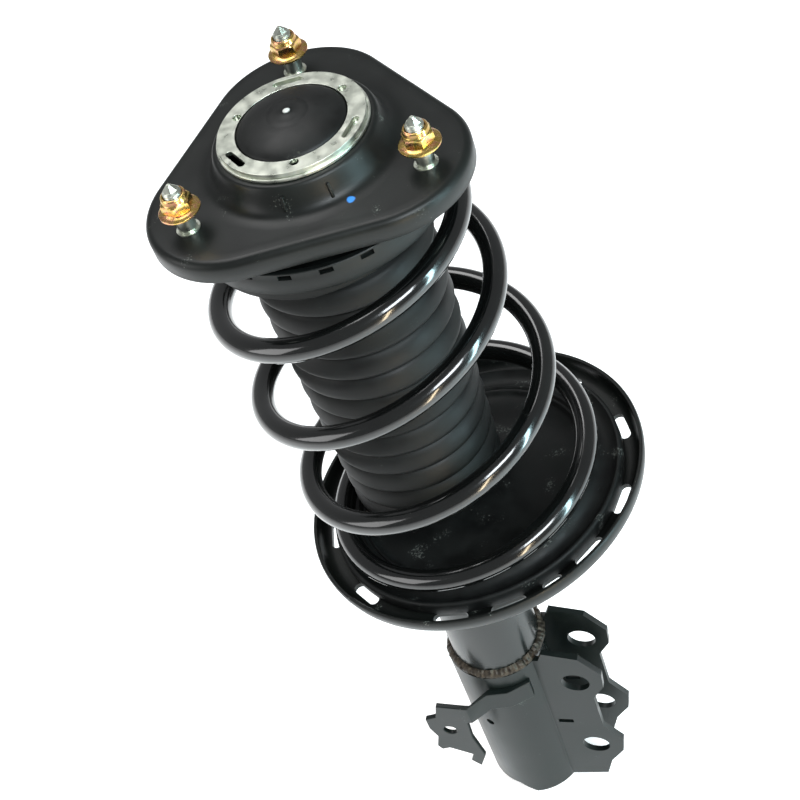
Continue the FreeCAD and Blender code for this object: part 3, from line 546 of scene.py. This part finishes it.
class STRUT_OT_mount_plate(bpy.types.Operator):
    """Pressed triangular plate with its turned-down rim, conical boss and two locating ribs"""
    bl_idname = "strut.mount_plate"
    bl_label = "Mount plate"

    def execute(self, context):
        sizes = settings("plate")
        reach, corner = sizes.corner_reach / MM, sizes.corner_radius / MM
        bend, rib_size, rib_azimuths = 3.5, (2.2, 1.3, 6.5), (-85.5, -56)
        profile = [(reach, corner - 3, -9.5), (reach, corner - 2.6, -10), (reach, corner - 0.5, -10),
                   (reach, corner, -9.5)]
        for step in range(7):
            angle = math.radians(15 * step)
            profile.append((reach, corner - bend + bend * math.cos(angle), -bend + bend * math.sin(angle)))
        profile += [(reach, 34, 0), (0, 47, 0), (0, 44, 0.25), (0, 41.8, 0.9), (0, 40.2, 2), (0, 39, 3.6),
                    (0, 38, 5.6), (0, 36.9, 8.4), (0, 36, 10.8), (0, 35.4, 11.7), (0, 34.6, 12.15),
                    (0, 33.8, 12.2), (0, 27, 12.2), (0, 27, 9.7), (0, 33.2, 9.7), (0, 35.2, 5), (0, 37.4, 0),
                    (0, 40.5, -2.2), (0, 44, -3), (reach, 34, -3), (reach, corner - 5.4, -3.3),
                    (reach, corner - 3.6, -4.6), (reach, corner - 3, -6.5)]
        bm = lofted(plate_place, profile, 120)
        for azimuth in rib_azimuths:
            turn = Matrix.Rotation(math.radians(azimuth), 4, "Z")
            tilt = Matrix.Rotation(math.radians(-17), 4, "Y")
            block(bm, rib_size, turn @ Matrix.Translation((38.2 * MM, 0, 5.6 * MM)) @ tilt)
        piece(bm, "mount_plate_pressing", plate_finish, "top_mount", ["mount_plate"],
              crease=50)
        return {"FINISHED"}


def cut_thread(bm, low, high, pitch, depth):
    """Push the outer vertices inwards along a helix, between two heights; pitch is in metres."""
    core = 3.2
    for vert in bm.verts:
        if low * MM < vert.co.z < high * MM and vert.co.xy.length > core * MM:
            phase = (vert.co.z / pitch - math.atan2(vert.co.y, vert.co.x) / math.tau) % 1.0
            wave = abs(2 * phase - 1)
            vert.co.xy *= 1 - depth * MM * wave / vert.co.xy.length


class STRUT_OT_studs(bpy.types.Operator):
    """Three pressed-in studs: knurled collar, plain shank, rolled thread and a faceted point"""
    bl_idname = "strut.studs"
    bl_label = "Mounting studs"

    def execute(self, context):
        sizes = settings("plate")
        radius, head, thread_depth, knurl_share = 4.0, 7, 0.62, 0.93
        rows = [(radius, 1.0 + 0.25 * step) for step in range(79)]
        outline = [(0, -6), (head, -6), (head, -3), (radius, -3)] + rows + [(3.1, 21.2), (0, 21.2)]
        whole = bmesh.new()
        for azimuth in STUD_AZIMUTHS:
            bm = spun(outline, steps=36)
            cut_thread(bm, 8.6, 20.8, sizes.thread_pitch, thread_depth)
            collar = bmesh.ops.create_cone(bm, cap_ends=True, segments=44, radius1=5.5 * MM,
                                           radius2=5.2 * MM, depth=0.9 * MM)["verts"]
            for index, vert in enumerate(collar):
                if index % 2 and vert.co.xy.length > MM:
                    vert.co.xy *= knurl_share
            bmesh.ops.create_cone(bm, cap_ends=True, segments=7, radius1=3.3 * MM, radius2=0.9 * MM,
                                  depth=2.6 * MM, matrix=Matrix.Translation((0, 0, 22.4 * MM)))
            bmesh.ops.translate(bm, verts=bm.verts, vec=heading(azimuth) * STUD_CIRCLE * MM)
            mesh = bpy.data.meshes.new("stud")
            bm.to_mesh(mesh)
            bm.free()
            whole.from_mesh(mesh)
            bpy.data.meshes.remove(mesh)
        piece(whole, "threaded_studs", zinc_plate, "top_mount", ["mount_studs"], crease=24)
        return {"FINISHED"}


def nut_place(index, corners):
    """Place of one of 48 vertices on a hexagon cut off at a limiting radius; apothem 0 gives a circle."""
    apothem, limit, height = corners
    azimuth = index * 7.5
    side = azimuth % 60 - 30
    radius = min(apothem / math.cos(math.radians(side)), limit) if apothem else limit
    return heading(azimuth) * radius + Vector((0, 0, height))


class STRUT_OT_flange_nuts(bpy.types.Operator):
    """Three flange nuts: coned flange, chamfered hexagon and a round locking collar"""
    bl_idname = "strut.flange_nuts"
    bl_label = "Flange nuts"

    def execute(self, context):
        profile = [(0, 8.7, 0), (0, 8.95, 0.3), (0, 8.95, 0.9), (0, 8.6, 1.25), (0, 7.6, 1.7),
                   (5.9, 7.0, 2.2), (6, 6.93, 2.6), (6, 6.93, 5.3), (6, 6.6, 5.9), (5.9, 6.1, 6.3),
                   (0, 5.7, 6.5), (0, 5.5, 6.8), (0, 5.4, 8.2), (0, 5.2, 8.7), (0, 4.9, 8.95),
                   (0, 4.6, 9.0), (0, 4.3, 8.8), (0, 4.15, 8.3), (0, 4.1, 0)]
        for index, azimuth in enumerate(STUD_AZIMUTHS, start=1):
            bm = lofted(nut_place, profile, 48)
            # each nut stopped at its own angle
            bmesh.ops.rotate(bm, verts=bm.verts, matrix=Matrix.Rotation(math.radians(19 * index), 3, "Z"))
            shift = heading(azimuth) * STUD_CIRCLE * MM + Vector((0, 0, NUT_SEAT * MM))
            bmesh.ops.translate(bm, verts=bm.verts, vec=shift)
            piece(bm, "chromated_flange_nut_%d" % index, yellow_zinc_plate, "nut_%d" % index,
                  ["flange_nut_%d" % index], crease=30)
        return {"FINISHED"}


class STRUT_OT_rings_and_cap(bpy.types.Operator):
    """Two zinc-plated retaining rings and the domed rubber cap inside them"""
    bl_idname = "strut.rings_and_cap"
    bl_label = "Rings and cap"

    def execute(self, context):
        piece(copied("retainer_ring_lower"), "lower_ring_plated", zinc_plate, "top_mount",
              ["retainer_ring_lower"], edge=0.45)
        piece(copied("retainer_ring"), "slotted_ring_plated", zinc_plate, "top_mount",
              ["retainer_ring"], edge=0.35)
        outline = [(0, 22.7), (0.8, 22.6), (1.4, 22.25), (1.8, 21.8), (2.6, 21.5), (6, 21.35), (8.6, 21.1),
                   (8.9, 20.95), (9.4, 20.95), (12.5, 20.4), (16, 19.5), (19, 18.5), (21, 17.6), (22.6, 16.7),
                   (23.5, 15.9), (23.9, 15), (23.9, 12.6), (22.1, 12.6), (22.1, 15.3), (15.6, 17.9),
                   (8.6, 19.4), (0, 19.9)]
        piece(spun(outline, steps=96), "domed_cap", cap_rubber, "cap", ["dust_cap"], crease=60)
        return {"FINISHED"}


# ---------------------------------------------------------------- operators: bearing, boot, spring


class STRUT_OT_bearing_housing(bpy.types.Operator):
    """Castellated lower half of the bearing: a skirt with 21 pockets under a thin lip"""
    bl_idname = "strut.bearing_housing"
    bl_label = "Bearing housing"

    def execute(self, context):
        outline = [(35, -20), (35, -14.7), (48, -14.7), (48, -17), (56.5, -17), (56.5, -13.1), (57, -12.7),
                   (59.2, -12.7), (59.5, -13), (59.5, -13.4), (59, -13.7), (59, -16.4), (59.1, -16.8),
                   (59.1, -23.6), (58.6, -24.6), (57.6, -25), (56.5, -24.6), (56.5, -20)]
        wall, floor = 59, 56.9
        bm = spun(outline, steps=POCKETS * 6)
        pockets = [[] for _ in range(POCKETS)]
        for face in bm.faces:
            middle = face.calc_center_median() / MM
            share = (math.degrees(math.atan2(middle.y, middle.x)) % 360) * POCKETS / 360
            if -16.4 < middle.z < -13.7 and middle.xy.length > wall - 0.5 and share % 1 > 0.66:
                pockets[int(share)].append(face)
        for faces in pockets:
            inner = bmesh.ops.extrude_face_region(bm, geom=faces)["geom"]
            bmesh.ops.delete(bm, geom=faces, context="FACES_ONLY")
            for vert in [item for item in inner if isinstance(item, bmesh.types.BMVert)]:
                vert.co.xy *= floor / wall
        bmesh.ops.recalc_face_normals(bm, faces=bm.faces)
        piece(bm, "castellated_housing", moulded_nylon, "upper_seat", ["bearing_lower_race"],
              crease=40)
        return {"FINISHED"}


class STRUT_OT_bellows(bpy.types.Operator):
    """Rubber bellows round the rod: twelve rounded sawtooth folds on a plain collar"""
    bl_idname = "strut.bellows"
    bl_label = "Dust bellows"

    def execute(self, context):
        sizes = settings("boot")
        count = sizes.folds
        top, bottom, fold_depth, wall = -44.0, -212.0, 5.5, 1.7
        fold_shape = ((0.02, 0.06), (0.06, 0.3), (0.14, 0.52), (0.28, 0.72), (0.44, 0.86), (0.6, 0.96),
                      (0.7, 1.0), (0.77, 0.98), (0.82, 0.88), (0.86, 0.62), (0.91, 0.26), (0.97, 0.0))
        outer = [(34.3, -36), (34.6, -40)]
        for fold in range(count):
            ridge = (sizes.top_radius + (sizes.bottom_radius - sizes.top_radius) * fold / (count - 1)) / MM
            for share, height in fold_shape:
                outer.append((ridge - fold_depth * (1 - height),
                              top + (bottom - top) * (fold + share) / count))
        outer += [(33.6, bottom), (31.8, bottom)]
        inner = [(radius - wall, height + 0.4) for radius, height in outer[-4:0:-1]] + [(32.6, -36)]
        bm = spun(outer + inner, steps=120)
        boot = piece(bm, "bellows", bellows_rubber, "upper_seat", ["dust_boot"], crease=70)
        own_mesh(boot)
        return {"FINISHED"}


def coil_drop(turn):
    """Distance down the spring's axis after this many turns; the pitch closes up towards both seats."""
    start, end, ease_in, ease_out = -0.43, 4.06, 1.55, 1.34
    run = end - start
    pitch = SEAT_DROP / (run - (ease_in + ease_out) / 2)
    gone = min(max(turn - start, 0), run)
    rising = min(gone, ease_in)
    level = min(max(gone - ease_in, 0), run - ease_in - ease_out)
    falling = max(gone - (run - ease_out), 0)
    return pitch * (rising * rising / (2 * ease_in) + level + falling - falling * falling / (2 * ease_out))


class STRUT_OT_coil_spring(bpy.types.Operator):
    """Side-load coil spring: tapered, with its middle bowed to one side"""
    bl_idname = "strut.coil_spring"
    bl_label = "Coil spring"

    def execute(self, context):
        sizes = settings("spring")
        per_turn, first, last, phase = 24, -0.3, 3.8, 43.4
        swelling, bow_out, bow_side = 1.3, 1.9, -10
        count = int((last - first) * per_turn)
        curve = bpy.data.curves.new("wire", "CURVE")
        curve.dimensions = "3D"
        curve.bevel_depth = sizes.wire_radius
        curve.bevel_resolution = 7
        curve.resolution_u = 4
        curve.use_fill_caps = True
        line = curve.splines.new("NURBS")
        line.points.add(count)
        for index, point in enumerate(line.points):
            share = index / count
            turn = first + (last - first) * share
            middle = 4 * share * (1 - share)
            radius = (sizes.top_radius + (sizes.bottom_radius - sizes.top_radius) * share) / MM
            offset = heading(phase - 360 * turn) * (radius + swelling * middle)
            offset += Vector((bow_out, bow_side, 0)) * middle
            point.co = (*(seat_matrix(coil_drop(turn)) @ (offset * MM)), 1)
        line.order_u = 4
        line.use_endpoint_u = True
        wire = bpy.data.objects.new("wire", curve)
        context.scene.collection.objects.link(wire)
        context.view_layer.update()
        mesh = bpy.data.meshes.new_from_object(wire.evaluated_get(context.evaluated_depsgraph_get()))
        bpy.data.objects.remove(wire)
        bm = bmesh.new()
        bm.from_mesh(mesh)
        close_up(bm)
        spring = piece(bm, "coil_spring_wire", spring_enamel, "upper_seat", ["coil_spring"],
                       crease=50)
        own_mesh(spring)
        return {"FINISHED"}


class STRUT_OT_upper_rubber(bpy.types.Operator):
    """Upper spring insulator and the bump stop inside the bellows"""
    bl_idname = "strut.upper_rubber"
    bl_label = "Upper rubber parts"

    def execute(self, context):
        piece(copied("upper_insulator"), "upper_insulator_rubber", bellows_rubber, "upper_seat",
              ["upper_insulator"], edge=0.8)
        outline = [(10.4, -20), (22.5, -20), (22.5, -33), (21.8, -35), (19, -38.5), (18.1, -40), (18.4, -42),
                   (20.6, -46), (21, -48), (20.4, -51), (16.6, -56.5), (16, -58), (16.4, -60), (18.6, -65.5),
                   (19, -68), (18, -72), (15, -79), (14, -81.4), (13, -82), (10.4, -82)]
        piece(spun(outline, steps=64), "bump_stop_foam", foam, "top_mount", ["bump_stop"], crease=50)
        return {"FINISHED"}


# ---------------------------------------------------------------- operators: damper body


class STRUT_OT_damper_tube(bpy.types.Operator):
    """Damper tube with its rolled top edge and closed foot"""
    bl_idname = "strut.damper_tube"
    bl_label = "Damper tube"

    def execute(self, context):
        outline = [(23.4, -490), (25, -490), (TUBE_RADIUS, -489.4), (TUBE_RADIUS, -201.8), (25.1, -200.6),
                   (24, -200), (14.4, -200), (14, -200.4), (14, -201.8), (14.4, -202.1), (23.4, -202.1)]
        piece(spun(outline, steps=96), "damper_tube", tube_paint, "strut_body",
              ["strut_tube"])
        return {"FINISHED"}


def slot_tool(bm, azimuth, length):
    """Add a straight slot with round ends, across a radius of the spring seat, for cutting."""
    circle, width, low, high = 78.6, 5.5, -14, -6
    ring = bmesh.ops.create_circle(bm, segments=32, radius=width / 2 * MM, cap_ends=True)["verts"]
    half = (length - width) / 2 * MM
    for sign in (-1, 1):
        side = [vert for vert in ring if vert.co.y * sign > 0]
        bmesh.ops.translate(bm, verts=side, vec=(0, sign * half, 0))
    face = ring[0].link_faces[0]
    top = bmesh.ops.extrude_face_region(bm, geom=[face])["geom"]
    raised = [item for item in top if isinstance(item, bmesh.types.BMVert)]
    bmesh.ops.translate(bm, verts=raised, vec=(0, 0, (high - low) * MM))
    place = Matrix.Rotation(math.radians(azimuth), 4, "Z") @ Matrix.Translation((circle * MM, 0, low * MM))
    bmesh.ops.transform(bm, verts=ring + raised, matrix=place)


def round_tool(radius):
    """Upright cylinder on the damper's axis, past both faces of the spring seat, for cutting."""
    middle, depth = -220, 80
    bm = bmesh.new()
    bmesh.ops.create_cone(bm, cap_ends=True, segments=96, radius1=radius * MM, radius2=radius * MM,
                          depth=depth * MM, matrix=Matrix.Translation((0, 0, middle * MM)))
    return bm


class STRUT_OT_spring_seat(bpy.types.Operator):
    """Lower spring seat: pressed pan with its upturned rim and ring of slots"""
    bl_idname = "strut.spring_seat"
    bl_label = "Lower spring seat"

    def execute(self, context):
        outline = [(0, -11.5), (80, -11.5), (83, -11), (85.6, -9.6), (87.4, -7), (88.2, -3.6), (88.3, -1),
                   (87.9, -0.2), (87.2, 0), (86.4, -0.1), (85.9, -0.8), (85.6, -3.8), (84.9, -6.2),
                   (83.4, -8), (81.6, -8.8), (79.5, -9), (0, -9)]
        slot_azimuths, slot_length = (33, -2, -26, -60, -81.5, -120, -155, 150, 107, 70), 18
        short_slot_azimuth, short_slot_length = -43, 10.8
        bm = spun(outline, steps=144)
        seat = piece(bm, "slotted_seat_pan", electrocoated_steel, "strut_body",
                     ["lower_spring_seat"], edge=0.5)
        tools = bmesh.new()
        for azimuth in slot_azimuths:
            slot_tool(tools, azimuth, slot_length)
        slot_tool(tools, short_slot_azimuth, short_slot_length)
        bmesh.ops.recalc_face_normals(tools, faces=tools.faces)
        cut_away(seat, tools)
        seat.data.transform(seat_matrix())
        cut_away(seat, round_tool(TUBE_RADIUS + 0.1))
        return {"FINISHED"}


class STRUT_OT_seat_pad(bpy.types.Operator):
    """Rubber pad in the lower seat: wire groove, fine ridges, and a stop for the wire's end"""
    bl_idname = "strut.seat_pad"
    bl_label = "Seat pad"

    def execute(self, context):
        outline = [(0, -9), (76.4, -9), (76.8, -8.4), (76.8, -3), (76.3, -2), (75.6, -1.6), (74.9, -1.7),
                   (74.3, -2.6), (73, -4.2), (71.2, -5.4), (69, -5.8), (66.8, -5.4), (65, -4.2), (63.7, -2.4),
                   (63.1, -1.2), (62.4, -0.9), (61.8, -1.3), (61.4, -2.2), (60.8, -2.3), (60.3, -1.6),
                   (59.6, -1.5), (59, -2), (58.5, -3), (57.6, -3.6), (56, -3.9), (50, -4), (0, -4)]
        bm = spun(outline, steps=144)
        stop = [(61.5, -3.5), (76.6, -3.5), (76.6, 1.0), (75.4, 2.4), (63, 2.4), (61.5, 1.2)]
        stop_start, stop_arc, level_from, slope = 84, 26, 104, 0.22
        ramp = spin_into(bm, stop, steps=12, angle=math.radians(stop_arc), start=math.radians(stop_start))
        rim = {edge for face in ramp for edge in face.edges if edge.is_boundary}
        bmesh.ops.holes_fill(bm, edges=list(rim), sides=12)
        for vert in {vert for face in ramp for vert in face.verts}:
            azimuth = math.degrees(math.atan2(vert.co.y, vert.co.x))
            if vert.co.z > -MM:
                vert.co.z -= max(0, level_from - azimuth) * slope * MM
        bmesh.ops.recalc_face_normals(bm, faces=bm.faces)
        pad = piece(bm, "seat_pad_rubber", seat_rubber, "strut_body", ["lower_insulator"])
        pad.data.transform(seat_matrix())
        cut_away(pad, round_tool(TUBE_RADIUS + 1.1))
        return {"FINISHED"}


class STRUT_OT_knuckle_bracket(bpy.types.Operator):
    """Knuckle bracket, wrapped round the tube, with its two ears"""
    bl_idname = "strut.knuckle_bracket"
    bl_label = "Knuckle bracket"

    def execute(self, context):
        piece(copied("knuckle_bracket"), "knuckle_bracket_pressing", bracket_paint, "strut_body",
              ["knuckle_bracket"], edge=0.7)
        return {"FINISHED"}


class STRUT_OT_weld(bpy.types.Operator):
    """Arc weld bead round the top of the knuckle bracket"""
    bl_idname = "strut.weld"
    bl_label = "Bracket weld"

    def execute(self, context):
        outline = [(25.2, -368.4), (28.6, -368.4), (28.9, -367.4), (28.4, -365.8), (27, -364.4), (25.6, -364),
                   (25.2, -364.6)]
        beads, bead_height, lump_height, lumps_per_metre = 62, 0.18, 1.3, 260
        bm = spun(outline, steps=360)
        for vert in bm.verts:
            angle = math.atan2(vert.co.y, vert.co.x)
            ripple = bead_height * math.sin(angle * beads)
            ripple += lump_height * noise.noise(vert.co * lumps_per_metre)
            rise = ripple * MM if vert.co.xy.length > TUBE_RADIUS * MM else 0
            vert.co.xy *= 1 + 0.6 * rise / vert.co.xy.length
            vert.co.z += 0.8 * rise
        piece(bm, "bracket_weld_bead", weld_steel, "strut_body", ["bracket_weld"], crease=60)
        return {"FINISHED"}


class STRUT_OT_hose_bracket(bpy.types.Operator):
    """Brake hose bracket: bent arm and hooked plate"""
    bl_idname = "strut.hose_bracket"
    bl_label = "Hose bracket"

    def execute(self, context):
        piece(copied("hose_bracket"), "hose_bracket_pressing", bracket_paint, "strut_body",
              ["hose_bracket"], edge=0.5)
        return {"FINISHED"}


class STRUT_OT_inner_parts(bpy.types.Operator):
    """Finishes for the inner pieces, whose CAD shapes stay"""
    bl_idname = "strut.inner_parts"
    bl_label = "Inner parts"

    def execute(self, context):
        groups = {
            electrocoated_steel: ("mount_shell", "upper_spring_seat", "seat_sleeve", "tube_base"),
            bellows_rubber: ("mount_isolator", "rod_seal"),
            turned_steel: ("mount_core", "rebound_stop", "piston", "rod_guide", "pressure_tube", "base_valve",
                           "bearing_balls"),
            zinc_plate: ("rod_washer", "rod_nut", "piston_nut", "bump_cup"),
            moulded_nylon: ("bearing_upper_race", "bearing_cage", "piston_band", "guide_bush"),
            hard_chrome: ("piston_rod",),
        }
        for maker, names in groups.items():
            for name in names:
                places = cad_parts[name].material_slots
                if not places:
                    raise RuntimeError("%s has no material slot" % name)
                for place in places:
                    place.material = finish(maker)
        return {"FINISHED"}


# ---------------------------------------------------------------- stage


def aim(item, target):
    """Turn a lamp to face a point."""
    item.rotation_euler = (Vector(target) - item.location).to_track_quat("-Z", "Y").to_euler()


class STRUT_OT_stage(bpy.types.Operator):
    """Pale floor, soft studio lights and the camera"""
    bl_idname = "strut.stage"
    bl_label = "Stage"

    def execute(self, context):
        sizes = settings("stage")
        scene = context.scene
        low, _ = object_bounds()
        floor_reach = 6.0
        bm = bmesh.new()
        bmesh.ops.create_grid(bm, x_segments=2, y_segments=2, size=floor_reach,
                              matrix=Matrix.Translation((0, 0, low.z - sizes.floor_drop)))
        mesh = bpy.data.meshes.new("floor")
        bm.to_mesh(mesh)
        bm.free()
        floor = bpy.data.objects.new("floor", mesh)
        scene.collection.objects.link(floor)
        material, tree, shader, place = new_finish("matt_studio_paper")
        tone = add_node(tree, "ShaderNodeTexNoise", {"Scale": 2.0}, {"Vector": place})
        pale = add_node(tree, "ShaderNodeMix",
                        {"data_type": "RGBA", 6: linear("#F6F6F6"), 7: linear("#FAFAFA")},
                        {0: tone.outputs["Fac"]})
        tree.links.new(pale.outputs[2], shader.inputs["Base Color"])
        shader.inputs["Roughness"].default_value = 0.9
        shader.inputs["Specular IOR Level"].default_value = 0.1
        shader.inputs["Emission Color"].default_value = linear("#FFFFFF")
        shader.inputs["Emission Strength"].default_value = 0.55
        mesh.materials.append(material)
        floor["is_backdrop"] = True

        scene.view_settings.view_transform = "Standard"
        world = scene.world or bpy.data.worlds.new("studio")
        scene.world = world
        world.use_nodes = True
        backdrop = world.node_tree.nodes["Background"]
        backdrop.inputs["Color"].default_value = linear("#F4F6F8")
        backdrop.inputs["Strength"].default_value = sizes.world_strength
        # name, place and size in metres, power in watts, colour, and the point it faces
        lights = (
            ("key_box", (0.9, -0.9, 1.1), (0.7, 0.5), 26, "#F2FAFF", (0, 0, -0.2)),
            ("strip_right", (1.1, -0.25, 0.1), (0.12, 1.2), 14, "#C4ECF4", (0, 0, -0.2)),
            ("strip_warm", (0.75, -0.95, -0.1), (0.08, 0.9), 5, "#FFE9C4", (0, 0, -0.2)),
            ("top_box", (-0.5, 0.5, 1.5), (1.0, 1.0), 16, "#FFFFFF", (0, 0, 0)),
            ("left_fill", (-1.2, -0.7, 0.4), (0.8, 0.8), 6, "#FFFFFF", (0, 0, -0.2)),
        )
        for name, place, size, power, code, target in lights:
            lamp = bpy.data.lights.new(name, "AREA")
            lamp.shape = "RECTANGLE"
            lamp.size, lamp.size_y = size
            lamp.energy = power
            lamp.color = linear(code)[:3]
            item = bpy.data.objects.new(name, lamp)
            item.location = place
            scene.collection.objects.link(item)
            aim(item, target)

        camera = bpy.data.cameras.new("camera")
        camera.lens = 73.4
        camera.sensor_width = 36
        camera.clip_start, camera.clip_end = 0.01, 30
        item = bpy.data.objects.new("camera", camera)
        scene.collection.objects.link(item)
        place = (0.25189, -0.49209, 0.40672)
        right = Vector((0.94718, 0.18761, -0.26011)).normalized()
        back = Vector((0.31951, -0.62196, 0.71489)).normalized()
        turn = Matrix((right, back.cross(right).normalized(), back)).transposed()
        item.matrix_world = Matrix.Translation(place) @ turn.to_4x4()
        scene.camera = item
        return {"FINISHED"}


# ---------------------------------------------------------------- panel and registration


OPERATORS = (STRUT_OT_mount_plate, STRUT_OT_studs, STRUT_OT_flange_nuts, STRUT_OT_rings_and_cap,
             STRUT_OT_bearing_housing, STRUT_OT_bellows, STRUT_OT_coil_spring, STRUT_OT_upper_rubber,
             STRUT_OT_damper_tube, STRUT_OT_spring_seat, STRUT_OT_seat_pad, STRUT_OT_knuckle_bracket,
             STRUT_OT_weld, STRUT_OT_hose_bracket, STRUT_OT_inner_parts, STRUT_OT_stage)
GROUPS = {"plate": PlateSizes, "spring": SpringSizes, "boot": BootSizes, "colours": Colours,
          "stage": StageSettings}


class STRUT_PT_panel(bpy.types.Panel):
    """Lists the strut's pieces and settings"""
    bl_label = "Strut assembly"
    bl_space_type = "VIEW_3D"
    bl_region_type = "UI"
    bl_category = "Strut"

    def draw(self, context):
        for operator in OPERATORS:
            self.layout.operator(operator.bl_idname)
        for name in GROUPS:
            box = self.layout.box()
            group = settings(name)
            for key in group.__annotations__:
                box.prop(group, key)


def register():
    for group in (*GROUPS.values(), *OPERATORS, STRUT_PT_panel):
        bpy.utils.register_class(group)
    for name, group in GROUPS.items():
        setattr(bpy.types.Scene, "strut_" + name, bpy.props.PointerProperty(type=group))


def unregister():
    for name in GROUPS:
        delattr(bpy.types.Scene, "strut_" + name)
    for group in reversed((*GROUPS.values(), *OPERATORS, STRUT_PT_panel)):
        bpy.utils.unregister_class(group)


def main():
    """Build every piece and the stage."""
    register()
    for operator in OPERATORS:
        category, name = operator.bl_idname.split(".")
        getattr(getattr(bpy.ops, category), name)()


if __name__ == "__main__":
    main()
